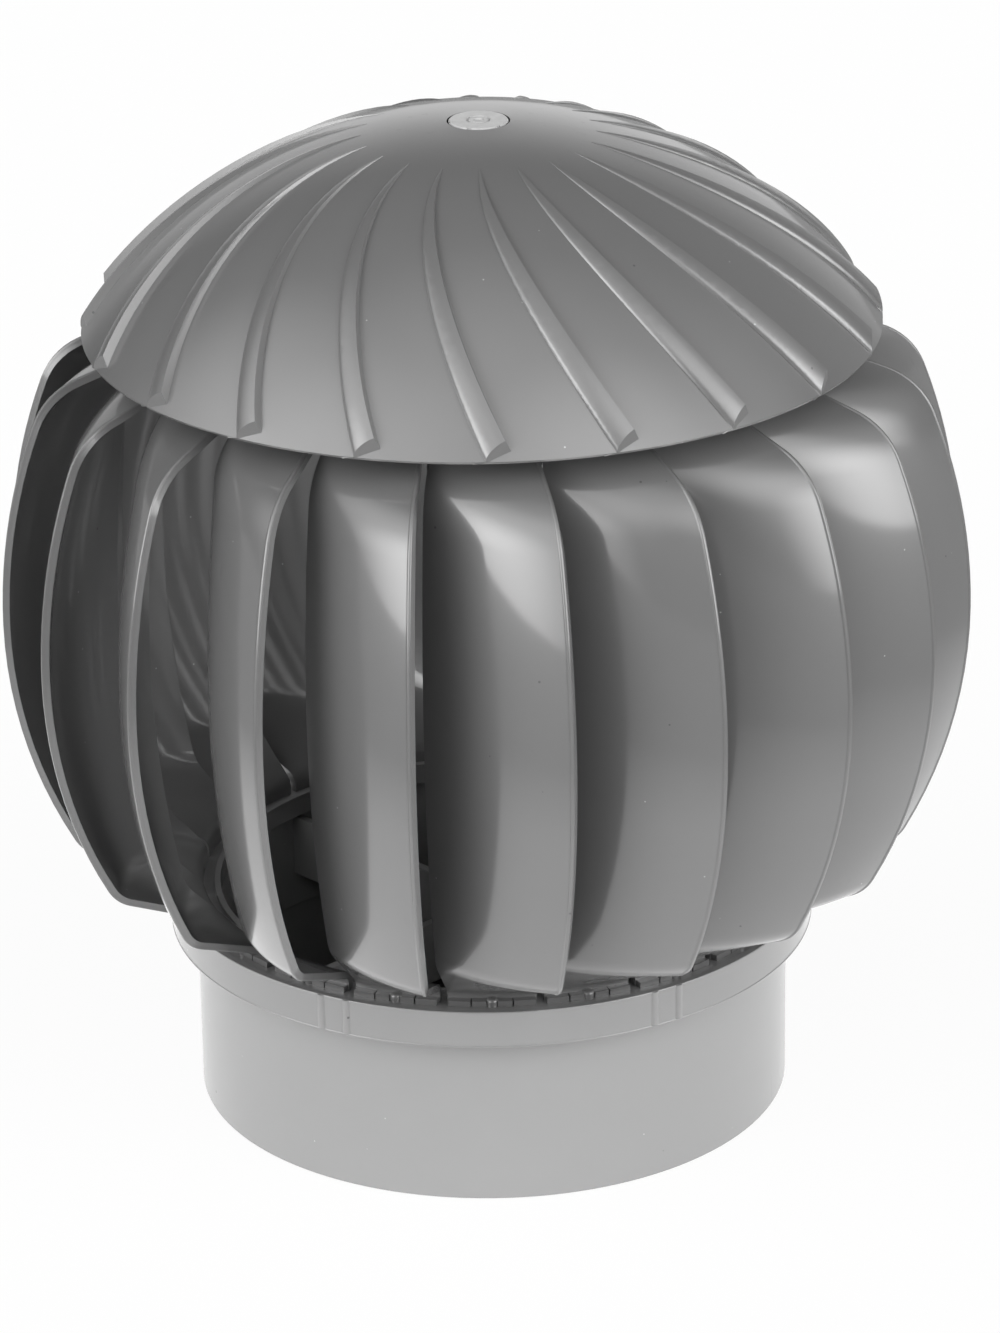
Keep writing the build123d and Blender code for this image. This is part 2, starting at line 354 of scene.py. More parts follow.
@dataclass(frozen=True)
class Finish:
    """A finish that becomes one Blender material.

    Attributes:
        name: the material's name.
        roughness: its mean roughness.
        coat: how far it has the clear shine of a polished mould, from 0 to 1.
        coat_roughness: roughness of that shine.
        coat_index: refractive index of that shine.
        index: refractive index of the rest.
    """

    name: str
    roughness: float = 0.4
    coat: float = 0.0
    coat_roughness: float = 0.1
    coat_index: float = 1.6
    index: float = 1.5

    def material(self) -> bpy.types.Material:
        """Makes the material, once.

        Returns:
            The material.
        """
        found = bpy.data.materials.get(self.name)
        if found:
            return found
        made = bpy.data.materials.new(self.name)
        made.use_nodes = True
        graph = Graph(made.node_tree)
        surface = self.surface(graph)
        graph.node("ShaderNodeOutputMaterial", None, {"Surface": surface})
        return made

    def surface(self, graph: Graph) -> bpy.types.NodeSocket:
        """Adds the shader.

        Args:
            graph: the material's graph.

        Returns:
            The shader of the surface.
        """
        shader = graph.node("ShaderNodeBsdfPrincipled", None, {
            "IOR": self.index, "Coat Weight": self.coat, "Coat Roughness": self.coat_roughness,
            "Coat IOR": self.coat_index})
        self.shade(graph, shader)
        return shader.outputs[0]

    def shade(self, graph: Graph, shader: bpy.types.Node) -> None:
        """Fills the Principled node.

        Args:
            graph: the material's graph.
            shader: the Principled node to fill.
        """
        raise NotImplementedError


@dataclass(frozen=True)
class MouldedPlastic(Finish):
    """Satin moulded plastic with a faint mottle, fine grain, specks and hairline rubs.

    Attributes:
        shade_level: its linear grey.
        mottle: how far the grey drifts over the surface.
        drift: the clouds that it drifts by.
        pits: dark specks.
        dust: pale specks.
        dullness: the clouds that change its roughness.
        rubs: the streaks whose tops are rubbed dull.
        rub_level: how high a streak has to be to show.
        grain: the fine grain.
        grain_depth: how deep the grain is, in metres.
        grain_strength: how far it shows.
        edge: radius of the moulded edges, in metres.
    """

    shade_level: float = 0.16
    mottle: float = 0.05
    drift: Sequence[Cloud] = (Cloud(9.0, 3.0, 0.7), Cloud(70.0, 4.0, 0.3))
    pits: Speckle = Speckle(130.0, 0.055, 0.12, 0.85, 0.05)
    dust: Speckle = Speckle(170.0, 0.045, 0.16, 0.50, 0.60)
    dullness: Cloud = Cloud(30.0, 3.0, 0.12)
    rubs: Cloud = Cloud(260.0, 2.0, 0.05, (1.0, 1.0, 0.06))
    rub_level: float = 0.69
    grain: Sequence[Cloud] = (Cloud(1400.0, 2.0, 0.7), Cloud(160.0, 2.0, 0.3))
    grain_depth: float = 0.000012
    grain_strength: float = 0.35
    edge: float = 0.0004

    def shade(self, graph: Graph, shader: bpy.types.Node) -> None:
        """Mottles, specks, rubs and grains the plastic.

        Args:
            graph: the material's graph.
            shader: the Principled node to fill.
        """
        colour = graph.blend(
            graph.layers(self.drift), grey(self.shade_level * (1 - self.mottle)),
            grey(self.shade_level * (1 + self.mottle)))
        for speckle in (self.pits, self.dust):
            colour = graph.blend(graph.specks(speckle), colour, grey(speckle.level))
        graph.feed(shader, "Base Color", colour)
        rubbed = (graph.noise(self.rubs) > self.rub_level) * self.rubs.weight
        dull = (graph.noise(self.dullness) - 0.5) * self.dullness.weight
        graph.feed(shader, "Roughness", self.roughness + dull + rubbed)
        graph.feed(shader, "Normal", graph.relief(
            graph.layers(self.grain), self.grain_strength, self.grain_depth, self.edge))


@dataclass(frozen=True)
class ClearPlug(Finish):
    """Pale glossy plastic of the plug, a little cloudy.

    Attributes:
        shade_level: its linear grey.
        cloudy: the clouds in it, and how far they change its roughness.
        darkest: grey of the darkest cloud, times its own.
        palest: grey of the palest cloud, times its own.
        grain: the fine grain, and how far it shows.
        grain_depth: how deep the grain is, in metres.
        edge: radius of the moulded edges, in metres.
    """

    shade_level: float = 0.42
    cloudy: Cloud = Cloud(260.0, 3.0, 0.1)
    darkest: float = 0.80
    palest: float = 1.25
    grain: Cloud = Cloud(900.0, 2.0, 0.3)
    grain_depth: float = 0.00002
    edge: float = 0.00025

    def shade(self, graph: Graph, shader: bpy.types.Node) -> None:
        """Clouds and grains the plug.

        Args:
            graph: the material's graph.
            shader: the Principled node to fill.
        """
        cloud = graph.noise(self.cloudy)
        graph.feed(shader, "Base Color", graph.blend(
            cloud, grey(self.shade_level * self.darkest), grey(self.shade_level * self.palest)))
        graph.feed(shader, "Roughness", self.roughness + (cloud - 0.5) * self.cloudy.weight)
        graph.feed(shader, "Normal", graph.relief(
            graph.noise(self.grain), self.grain.weight, self.grain_depth, self.edge))


@dataclass(frozen=True)
class Steel(Finish):
    """Bright steel with turning marks round the axle, dull in patches.

    Attributes:
        shade_level: its linear grey.
        patchy: how far the spangle darkens the grey.
        tint: colour of the palest spangle, times its own grey.
        spangle: the clouds of the spangle, and how far they change its roughness.
        mark_pitch: distance between turning marks, in metres.
        mark_depth: depth of the marks, in metres.
        mark_strength: how far they show.
        edge: radius of the turned edges, in metres.
    """

    shade_level: float = 0.55
    patchy: float = 0.12
    tint: tuple[float, float, float] = (1.10, 1.09, 1.05)
    spangle: Cloud = Cloud(220.0, 4.0, 0.25)
    mark_pitch: float = 0.0005
    mark_depth: float = 0.00001
    mark_strength: float = 0.5
    edge: float = 0.0002

    def shade(self, graph: Graph, shader: bpy.types.Node) -> None:
        """Gives the steel its spangle and turning marks.

        Args:
            graph: the material's graph.
            shader: the Principled node to fill.
        """
        spangle = graph.noise(self.spangle)
        pale = tuple(self.shade_level * part for part in self.tint)
        graph.feed(shader, "Base Color", graph.blend(
            spangle, grey(self.shade_level * (1 - self.patchy)), pale))
        graph.feed(shader, "Metallic", 1.0)
        graph.feed(shader, "Roughness", self.roughness + (spangle - 0.5) * self.spangle.weight)
        x, y, z = graph.axes()
        marks = (((x * x + y * y) ** 0.5 + z) / self.mark_pitch).fraction()
        graph.feed(shader, "Normal", graph.relief(
            marks, self.mark_strength, self.mark_depth, self.edge))


@dataclass(frozen=True)
class Backdrop(Finish):
    """White paper of the floor, plain white to the camera, with a painted pool of light that gloss
    and glass see round the cowl.

    Attributes:
        fibre: the clouds of the paper.
        levels: linear grey of its darkest and its palest fibres.
        white_share: how much of the paper is plain white to the camera.
        near: distance from the axle within which gloss sees the painted pool of light at plain
            white, in metres.
        far: distance from which it sees that painted light at its dimmest, in metres.
        far_level: linear grey of the painted light there.
    """

    fibre: Cloud = Cloud(300.0, 3.0)
    levels: tuple[float, float] = (0.80, 0.84)
    white_share: float = 0.94
    near: float = 0.32
    far: float = 0.50
    far_level: float = 0.30

    def surface(self, graph: Graph) -> bpy.types.NodeSocket:
        """Adds the shaders of the paper and of the plain white, which gloss sees as a painted pool
        of light.

        Args:
            graph: the material's graph.

        Returns:
            Their mixture.
        """
        paper = graph.node("ShaderNodeBsdfDiffuse", None, {
            "Color": graph.blend(graph.noise(self.fibre), *map(grey, self.levels))})
        ray = graph.node("ShaderNodeLightPath")
        camera, glossy, clear = (
            Value(graph, ray.outputs[f"Is {kind} Ray"])
            for kind in ("Camera", "Glossy", "Transmission"))
        gloss = glossy + clear
        x, y, _ = graph.axes()
        reach = (x * x + y * y) ** 0.5
        # Painted pool of light on the floor for gloss and glass: white out to near, dimming to
        # far_level beyond far.
        distant = ((reach - self.near) / (self.far - self.near)).held() * gloss.held()
        white = graph.node("ShaderNodeEmission", None, {
            "Color": graph.blend(distant, grey(1.0), grey(self.far_level)), "Strength": 1.0})
        mix = graph.node("ShaderNodeMixShader", None, {
            0: (camera * self.white_share + gloss).held(), 1: paper.outputs[0],
            2: white.outputs[0]})
        return mix.outputs[0]


@dataclass(frozen=True)
class Felt(Finish):
    """Black felt of the mask under the tube.

    Attributes:
        fibre: the clouds of the felt.
        levels: linear grey of its darkest and its palest fibres.
    """

    fibre: Cloud = Cloud(900.0, 3.0)
    levels: tuple[float, float] = (0.01, 0.03)

    def shade(self, graph: Graph, shader: bpy.types.Node) -> None:
        """Greys the felt unevenly.

        Args:
            graph: the material's graph.
            shader: the Principled node to fill.
        """
        graph.feed(shader, "Base Color", graph.blend(
            graph.noise(self.fibre), *map(grey, self.levels)))
        graph.feed(shader, "Roughness", self.roughness)


# Blades, ring, cap and tube get four greys, each set to how bright that part looks under this
# light; the real cowl may be all one grey.
BLADE_PLASTIC = MouldedPlastic(
    "moulded_grey_plastic", roughness=0.36, coat=1.0, shade_level=0.125)
RING_PLASTIC = MouldedPlastic(
    "moulded_ring_plastic", roughness=0.36, coat=1.0, shade_level=0.20)
CAP_PLASTIC = MouldedPlastic(
    "moulded_cap_plastic", roughness=0.36, coat=1.0, shade_level=0.13, edge=0.00015)
TUBE_PLASTIC = MouldedPlastic(
    "moulded_tube_plastic", roughness=0.42, coat=0.6, shade_level=0.245)
PLUG = ClearPlug("clear_plug_plastic", roughness=0.2)
ZINC = Steel("zinc_plated_steel", roughness=0.38)
RACE = Steel("bearing_race_steel", roughness=0.2, shade_level=0.6, patchy=0.04)
PAPER = Backdrop("white_paper")
FELT = Felt("black_felt", roughness=0.5)


@dataclass
class SubAssembly:
    """Pieces that keep the meshes of their CAD nodes.

    Attributes:
        finishes: the finish of each group of CAD nodes, by the start of the nodes' names.
    """

    finishes: Mapping[str, Finish] = field(default_factory=dict)

    def build(self) -> int:
        """Dresses each node.

        Returns:
            How many pieces are shown.
        """
        shown = [
            (piece, finish) for start, finish in self.finishes.items()
            for name, piece in sorted(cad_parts.items()) if name.startswith(start)]
        for piece, finish in shown:
            dress(piece, finish)
        return len(shown)


@dataclass
class Stator(SubAssembly):
    """The base with the axle and what is fixed on it."""

    finishes: Mapping[str, Finish] = field(default_factory=lambda: {
        "base_tube": TUBE_PLASTIC, "axle": ZINC, "hub_": ZINC, "bearing_spacer": ZINC,
        "bearing_lower_inner": RACE, "bearing_upper_inner": RACE})


@dataclass
class Rotor(SubAssembly):
    """What turns and keeps its mesh: ring, housing clip, the outer races and the plug."""

    finishes: Mapping[str, Finish] = field(default_factory=lambda: {
        "lower_ring": RING_PLASTIC, "housing_clip": ZINC,
        "bearing_lower_outer": RACE, "bearing_upper_outer": RACE, "top_plug": PLUG})


def dress(piece: bpy.types.Object, finish: Finish) -> None:
    """Dresses a piece.

    Args:
        piece: the piece, a mesh.
        finish: what it is dressed in.
    """
    piece.data.materials.clear()
    piece.data.materials.append(finish.material())
    LOG.info("%s in %s", piece.name, finish.name)


def turning_piece(mesh: bpy.types.Mesh, finish: Finish) -> bpy.types.Object:
    """Puts a new piece on the rotor.

    Args:
        mesh: of the piece, named as the piece is to be.
        finish: what it is dressed in.

    Returns:
        The piece.
    """
    piece = bpy.data.objects.new(mesh.name, mesh)
    bpy.context.scene.collection.objects.link(piece)
    dress(piece, finish)
    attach(piece, ROTOR)
    return piece


class Solid:
    """A mesh of one new piece, made of rings of points that are joined side by side."""

    def __init__(self, name: str) -> None:
        """Starts an empty mesh.

        Args:
            name: of the piece.
        """
        self.name = name
        self.mesh = bmesh.new()

    def skin(self, rings: Sequence[Sequence[Vector]], endless: bool = False) -> None:
        """Joins closed rings of points into one skin, closed at both ends.

        Args:
            rings: the rings in order, each with the same even number of points.
            endless: whether the last ring joins the first instead.
        """
        rows = [[self.mesh.verts.new(point) for point in ring] for ring in rings]
        count = len(rows[0])
        for low, high in zip(rows, rows[1:] + rows[:1] if endless else rows[1:]):
            for index in range(count):
                after = (index + 1) % count
                self.mesh.faces.new((low[index], low[after], high[after], high[index]))
        if not endless:
            self.close(rows[0])
            self.close(rows[-1])

    def close(self, row: Sequence[bmesh.types.BMVert]) -> None:
        """Closes an end with strips between opposite points.

        Args:
            row: the ring of points at that end.
        """
        last = len(row) - 1
        for index in range(len(row) // 2 - 1):
            self.mesh.faces.new(
                (row[index], row[index + 1], row[last - 1 - index], row[last - index]))

    def piece(self, finish: Finish) -> bpy.types.Object:
        """Turns the mesh into a piece on the rotor.

        Args:
            finish: what it is dressed in.

        Returns:
            The piece.
        """
        bmesh.ops.recalc_face_normals(self.mesh, faces=self.mesh.faces)
        for face in self.mesh.faces:
            face.smooth = True
        mesh = bpy.data.meshes.new(self.name)
        self.mesh.to_mesh(mesh)
        self.mesh.free()
        mesh.set_sharp_from_angle(angle=SHARP_ANGLE)
        return turning_piece(mesh, finish)


def turns(count: int) -> list[float]:
    """Divides a full turn evenly.

    Args:
        count: how many steps it has.

    Returns:
        The angle at the start of each step, in radians.
    """
    return [math.tau * step / count for step in range(count)]


def about(radius: float, angle: float, height: float) -> Vector:
    """Finds a point by its place round the axle.

    Args:
        radius: distance from the axle.
        angle: from +X, in radians.
        height: of the point.

    Returns:
        The point.
    """
    return Vector((radius * math.cos(angle), radius * math.sin(angle), height))


def arc(centre: Vector, start: Vector, end: Vector, count: int) -> list[Vector]:
    """Divides the short arc between two points evenly.

    Args:
        centre: of the arc, in a plane.
        start: its first point.
        end: its last point.
        count: how many points come back.

    Returns:
        The points, both ends among them.
    """
    first = math.atan2(start.y - centre.y, start.x - centre.x)
    swing = math.remainder(math.atan2(end.y - centre.y, end.x - centre.x) - first, math.tau)
    radius = (start - centre).length
    return [
        centre + radius * Vector((math.cos(turn), math.sin(turn)))
        for turn in (first + swing * index / (count - 1) for index in range(count))]


@dataclass(frozen=True)
class HalfCurve:
    """One half of a blade's upright curve, with its root on the ring or in the cap, in mm.

    Attributes:
        root_radius: distance of the root from the axle.
        level: height where the root ends.
        rise: how far the upright root reaches from there, negative downwards.
        share: how far out the shoulder lies between root and crown, from 0 to 1.
        shoulder_height: of the shoulder.
        fillet: radius of the shoulder.
    """

    root_radius: float
    level: float
    rise: float
    share: float
    shoulder_height: float
    fillet: float

    def shoulder(
        self, start: Vector, along: Vector, centre: Vector, radius: float,
    ) -> tuple[Vector, Vector, Vector]:
        """Finds the arc that joins the straight wall to the bow.

        Args:
            start: where the wall starts.
            along: direction of the wall.
            centre: of the bow.
            radius: of the bow.

        Returns:
            The arc's centre, its point on the wall and its point on the bow.
        """
        inner = Vector((-along.y, along.x))
        if inner.dot(centre - start) < 0:
            inner = -inner
        offset = start + inner * self.fillet - centre
        ahead = offset.dot(along)
        inside = radius - self.fillet
        wall = start + along * (
            math.sqrt(ahead**2 - offset.dot(offset) + inside**2) - ahead)
        focus = wall + inner * self.fillet
        return focus, wall, centre + (focus - centre).normalized() * radius

    def heel(
        self, start: Vector, along: Vector, radius: float,
    ) -> tuple[Vector, Vector, Vector]:
        """Finds the bend that joins the upright root to the wall.

        Args:
            start: where root and wall would meet.
            along: direction of the wall.
            radius: of the bend.

        Returns:
            The bend's centre, its point on the root and its point on the wall.
        """
        drop = Vector((0.0, -math.copysign(1.0, self.rise)))
        bisector = (drop + along).normalized()
        half_sine = math.sqrt((1 - drop.dot(along)) / 2)
        length = radius * bisector.dot(along) / half_sine
        return start + bisector * radius / half_sine, start + drop * length, start + along * length


@dataclass
class Blades:
    """The blades: bowed sheets with a bead up the free edge, foot tabs and a boss, in mm.

    Attributes:
        count: how many blades there are.
        phase: azimuth of the first free edge from the front, in degrees.
        thickness: of the sheet.
        tip_radius: distance of the free edge from the axle at the crown.
        crown_height: height of the crown of the bow.
        arc_radius: of the arc that the sheet follows inwards.
        arc_angles: between that arc and the tangent, at its outer and inner end, in degrees.
        low: the lower half of the upright curve.
        high: the upper half.
        heel_radius: of the bend above the root.
        foot_lead: how far the foot starts behind the free edge, in degrees.
        foot_span: how far the foot reaches round the ring, in degrees.
        stations: how many upright curves make the sheet.
        curve_points: how many points bend, wall, shoulder and bow of a half curve have.
        tabs: length of each pair of foot tabs and its place from the middle, in mm and degrees.
        tab_reach: how far a tab stands out.
        tab_height: of a tab.
        bead_radius: of the bead.
        bead_proud: how far it stands out of the sheet.
        bead_margin: how many points of the curve it leaves bare at each end.
        bead_taper: over how many points it grows at each end.
        bead_tip: its radius at the ends as a share of the whole.
        bead_sides: how many points go round it.
        boss_radius: of the boss in the middle of the foot.
        boss_height: of the boss.
        boss_reach: how far its middle stands outside the foot.
        boss_outline: its width and height from foot to top, as shares.
        boss_sides: how many points go round it.
    """

    count: int = 20
    phase: float = 9.4
    thickness: float = 2.4
    tip_radius: float = 156.9
    crown_height: float = 171.5
    arc_radius: float = 82.0
    arc_angles: tuple[float, float] = (26.5, 67.5)
    low: HalfCurve = HalfCurve(97.5, 69.3, 4.0, 0.623, 89.3, 15.0)
    high: HalfCurve = HalfCurve(104.0, 267.5, -5.5, 0.68, 249.0, 25.0)
    heel_radius: float = 3.0
    foot_lead: float = 1.3
    foot_span: float = 16.6
    stations: int = 19
    curve_points: tuple[int, int, int, int] = (6, 3, 9, 12)
    tabs: Sequence[tuple[float, float]] = ((7.0, 5.95), (4.6, 2.35))
    tab_reach: float = 2.4
    tab_height: float = 2.0
    bead_radius: float = 0.8
    bead_proud: float = 0.35
    bead_margin: int = 5
    bead_taper: int = 3
    bead_tip: float = 0.35
    bead_sides: int = 8
    boss_radius: float = 1.9
    boss_height: float = 2.6
    boss_reach: float = 1.0
    boss_outline: Sequence[tuple[float, float]] = (
        (1.0, -0.1), (1.0, 0.6), (0.96, 0.78), (0.82, 0.92), (0.55, 0.99), (0.2, 1.0))
    boss_sides: int = 20

    def build(self) -> int:
        """Builds the blades in place of their nodes.

        Returns:
            How many there are.
        """
        rows, directions = self.sheet()
        parts = [
            self.wall(rows, directions), self.bead(rows, directions), self.boss(),
            *self.foot_tabs()]
        for index in range(self.count):
            node = f"blade_{index + 1:02d}"
            azimuth = math.radians(self.phase + index * 360 / self.count)
            turn = Matrix.Rotation(azimuth, 3, "Z") * MM
            solid = Solid(f"moulded_{node}")
            for rings in parts:
                solid.skin([[turn @ point for point in ring] for ring in rings])
            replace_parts(solid.piece(BLADE_PLASTIC), node)
        return self.count

    def foot_middle(self) -> float:
        """Returns: how far the middle of the foot lies behind the free edge, in radians."""
        return math.radians(self.foot_lead + self.foot_span / 2)

    def half(self, crown: Vector, lag: float, curve: HalfCurve) -> list[Vector]:
        """Finds one half of an upright curve.

        Args:
            crown: plan position of the crown of the bow, outwards and behind.
            lag: how far the root lies behind the free edge, in radians.
            curve: the half to find.

        Returns:
            Its points in the part's frame, from the root to the crown.
        """
        root = Vector((math.cos(lag), math.sin(lag))) * curve.root_radius
        reach, outward = (crown - root).length, (crown - root).normalized()
        sagitta = (1 - curve.share) * reach
        half_height = self.crown_height - curve.shoulder_height
        radius = (half_height**2 + sagitta**2) / (2 * sagitta)
        centre = Vector((reach - radius, self.crown_height))
        start = Vector((0.0, curve.level + curve.rise))
        along = (Vector((curve.share * reach, curve.shoulder_height)) - start).normalized()
        focus, wall, bow = curve.shoulder(start, along, centre, radius)
        bend_points, wall_points, shoulder_points, bow_points = self.curve_points
        flat = [Vector((0.0, curve.level))]
        flat += arc(*curve.heel(start, along, self.heel_radius), bend_points)
        flat += [
            flat[-1].lerp(wall, part / (wall_points + 1)) for part in range(1, wall_points + 1)]
        flat += arc(focus, wall, bow, shoulder_points)
        flat += arc(centre, bow, Vector((reach, self.crown_height)), bow_points)[1:]
        plan = [root + outward * point.x for point in flat]
        return [Vector((-spot.y, -spot.x, point.y)) for spot, point in zip(plan, flat)]

    def upright(self, share: float) -> list[Vector]:
        """Finds an upright curve of the outer face.

        Args:
            share: how far inside it lies, from 0 at the free edge to 1.

        Returns:
            Its points, upwards.
        """
        first, inner = map(math.radians, self.arc_angles)
        last = first + share * (inner - first)
        crown = Vector((
            self.tip_radius - self.arc_radius * (math.cos(first) - math.cos(last)),
            self.arc_radius * (math.sin(last) - math.sin(first))))
        lag = math.radians(self.foot_lead + share * self.foot_span)
        low, high = (self.half(crown, lag, curve) for curve in (self.low, self.high))
        return low + high[-2::-1]

    def sheet(self) -> tuple[list[list[Vector]], list[list[Vector]]]:
        """Finds the outer face.

        Returns:
            Its rows of points, and the direction that it faces at each.
        """
        rows = [self.upright(index / (self.stations - 1)) for index in range(self.stations)]
        last = len(rows[0]) - 1
        directions = []
        for index, row in enumerate(rows):
            before, after = rows[max(index - 1, 0)], rows[min(index + 1, len(rows) - 1)]
            directions.append([
                (row[min(place + 1, last)] - row[max(place - 1, 0)]).cross(
                    after[place] - before[place]).normalized() for place in range(last + 1)])
        return rows, directions

    def wall(
        self, rows: list[list[Vector]], directions: list[list[Vector]],
    ) -> list[list[Vector]]:
        """Thickens the outer face, flat at the root and the head.

        Args:
            rows: the outer face's rows of points.
            directions: the direction that it faces at each.

        Returns:
            Rings of points round the sheet.
        """
        rings = []
        for row, facing in zip(rows, directions):
            back = [point - normal * self.thickness for point, normal in zip(row, facing)]
            for point in back:
                point.z = min(max(point.z, self.low.level), self.high.level)
            rings.append(row + back[::-1])
        return rings

    def bead(
        self, rows: list[list[Vector]], directions: list[list[Vector]],
    ) -> list[list[Vector]]:
        """Rolls the bead along the free edge, thin at its ends.

        Args:
            rows: the outer face's rows of points.
            directions: the direction that it faces at each.

        Returns:
            Rings of points along it.
        """
        rings = []
        places = range(self.bead_margin, len(rows[0]) - self.bead_margin)
        for place in places:
            grown = min(place - places[0], places[-1] - place, self.bead_taper) / self.bead_taper
            radius = self.bead_radius * (self.bead_tip + (1 - self.bead_tip) * grown)
            point, normal = rows[0][place], directions[0][place]
            rim = point - rows[1][place]
            rim = (rim - normal * rim.dot(normal)).normalized()
            centre = point - rim * self.bead_radius - normal * (radius - self.bead_proud * grown)
            rings.append([
                centre + (normal * math.cos(turn) + rim * math.sin(turn)) * radius
                for turn in turns(self.bead_sides)])
        return rings

    def boss(self) -> list[list[Vector]]:
        """Shapes the round boss in the middle of the foot, with its rounded top.

        Returns:
            Rings of points up it.
        """
        centre = about(
            self.low.root_radius + self.boss_reach, FRONT - self.foot_middle(), self.low.level)
        return [
            [centre + about(self.boss_radius * wide, turn, self.boss_height * tall)
             for turn in turns(self.boss_sides)] for wide, tall in self.boss_outline]

    def foot_tabs(self) -> list[list[list[Vector]]]:
        """Shapes the tabs that stand out of the foot.

        Returns:
            The rings of points up each of them.
        """
        near = self.low.root_radius - self.thickness / 2
        far = self.low.root_radius + self.tab_reach
        tabs = []
        for length, place in self.tabs:
            half = length / 2
            corners = ((-half, -near), (-half, -far), (half, -far), (half, -near))
            for side in (-1, 1):
                turn = Matrix.Rotation(math.radians(side * place) - self.foot_middle(), 3, "Z")
                tabs.append([
                    [turn @ Vector((x, y, height)) for x, y in corners]
                    for height in (self.low.level, self.low.level + self.tab_height)])
        return tabs


@dataclass
class SwirlCap:
    """The cap, whose ribs end further round than the solid's do.

    Attributes:
        centre_height: of the dome's ball, in metres.
        dome_radius: of its outside, in metres.
        skin: how deep under that the outside still turns, in metres.
        rib_reach: distances from the axle where the ribs start and end, in metres.
        first: how far the ribs turn for each metre of their reach, in degrees.
        second: the same for its square.
    """

    centre_height: float = 0.174745
    dome_radius: float = 0.155255
    skin: float = 0.0001
    rib_reach: tuple[float, float] = (0.0370, 0.1256)
    first: float = 50.0
    second: float = -330.0

    def build(self) -> int:
        """Builds the cap in place of its node.

        Returns:
            How many pieces it is.
        """
        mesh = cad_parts["cap"].data.copy()
        mesh.name = "swirl_cap"
        centre = Vector((0, 0, self.centre_height))
        start, end = self.rib_reach
        for vertex in mesh.vertices:
            if (vertex.co - centre).length < self.dome_radius - self.skin:
                continue
            reach = min(max(math.hypot(vertex.co.x, vertex.co.y), start), end) - start
            turn = math.radians(self.first * reach + self.second * reach**2)
            vertex.co = Matrix.Rotation(turn, 3, "Z") @ vertex.co
        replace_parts(turning_piece(mesh, CAP_PLASTIC), "cap")
        return 1


@dataclass
class RingEdges:
    """The rolled edges at the top and the bottom of the ring's skirt, in mm.

    Attributes:
        edges: distance from the axle, height and radius of each edge's middle line.
        stations: how many rings of points go round the axle.
        sides: how many points a ring has.
    """

    edges: Sequence[tuple[float, float, float]] = ((105.65, 70.05, 0.40), (105.50, 58.20, 0.45))
    stations: int = 240
    sides: int = 8

    def build(self) -> int:
        """Builds both edges as one piece.

        Returns:
            How many pieces they are.
        """
        solid = Solid("ring_edges")
        for reach, height, radius in self.edges:
            solid.skin([
                [about(reach + radius * math.cos(side), turn, height + radius * math.sin(side)) * MM
                 for side in turns(self.sides)] for turn in turns(self.stations)], endless=True)
        solid.piece(RING_PLASTIC)
        return 1


@dataclass(frozen=True)
class PhotoCamera:
    """The camera at the photograph's angle.

    Attributes:
        target_height: height of the point on the axle that it looks at, in metres.
        distance: from that point, in metres.
        elevation: above the horizon, in degrees.
        roll: turn about its own axis, in degrees.
        focal_pixels: focal length in the photograph's pixels.
        axis_pixels: where its axis meets the picture, right of and below the middle.
        frame_pixels: width and height of the photograph.
        film: length of the film's long side, in millimetres.
        clip: nearest and farthest distance that it sees, in metres.
    """

    target_height: float = 0.150
    distance: float = 1.9024
    elevation: float = 22.80
    roll: float = -0.968
    focal_pixels: float = 5842.9
    axis_pixels: tuple[float, float] = (-12.685, -18.175)
    frame_pixels: tuple[int, int] = (1000, 1333)
    film: float = 36.0
    clip: tuple[float, float] = (0.05, 50.0)

    def build(self) -> bpy.types.Object:
        """Builds the camera and makes it the scene's own.

        Returns:
            The camera.
        """
        lens = bpy.data.cameras.new("photo_camera")
        long_side = max(self.frame_pixels)
        lens.sensor_width = self.film
        lens.lens = self.focal_pixels * self.film / long_side
        lens.shift_x = -self.axis_pixels[0] / long_side
        lens.shift_y = self.axis_pixels[1] / long_side
        lens.clip_start, lens.clip_end = self.clip
        camera = bpy.data.objects.new("photo_camera", lens)
        bpy.context.scene.collection.objects.link(camera)
        rise = math.radians(self.elevation)
        back = Vector((0.0, -math.cos(rise), math.sin(rise)))
        look = (-back).to_track_quat("-Z", "Y").to_matrix().to_4x4()
        place = Matrix.Translation(Vector((0, 0, self.target_height)) + back * self.distance)
        camera.matrix_world = place @ look @ Matrix.Rotation(math.radians(self.roll), 4, "Z")
        bpy.context.scene.camera = camera
        return camera


@dataclass(frozen=True)
class Glow:
    """A soft patch of light on the white walls and ceiling of the studio.

    Attributes:
        azimuth: of its middle, from the front towards the right, in degrees.
        elevation: of its middle above the horizon, in degrees.
        strength: of its middle, where 1 is white.
        width: from its middle to where it has faded out, in degrees.
        fade: how fast it fades, where 1 is evenly.
    """

    azimuth: float
    elevation: float
    strength: float
    width: float = 38.0
    fade: float = 1.5

    def level(self, graph: Graph, toward: bpy.types.NodeSocket) -> Value:
        """Finds the light that comes from a direction.

        Args:
            graph: of the surroundings.
            toward: the direction.

        Returns:
            Its light.
        """
        turn, rise = math.radians(self.azimuth), math.radians(self.elevation)
        middle = (
            math.sin(turn) * math.cos(rise), -math.cos(turn) * math.cos(rise), math.sin(rise))
        facing = graph.node(
            "ShaderNodeVectorMath", {"operation": "DOT_PRODUCT"}, {0: toward, 1: middle})
        rim = math.cos(math.radians(self.width))
        inside = (Value(graph, facing.outputs["Value"]) - rim) / (1 - rim)
        return inside.held() ** self.fade * self.strength


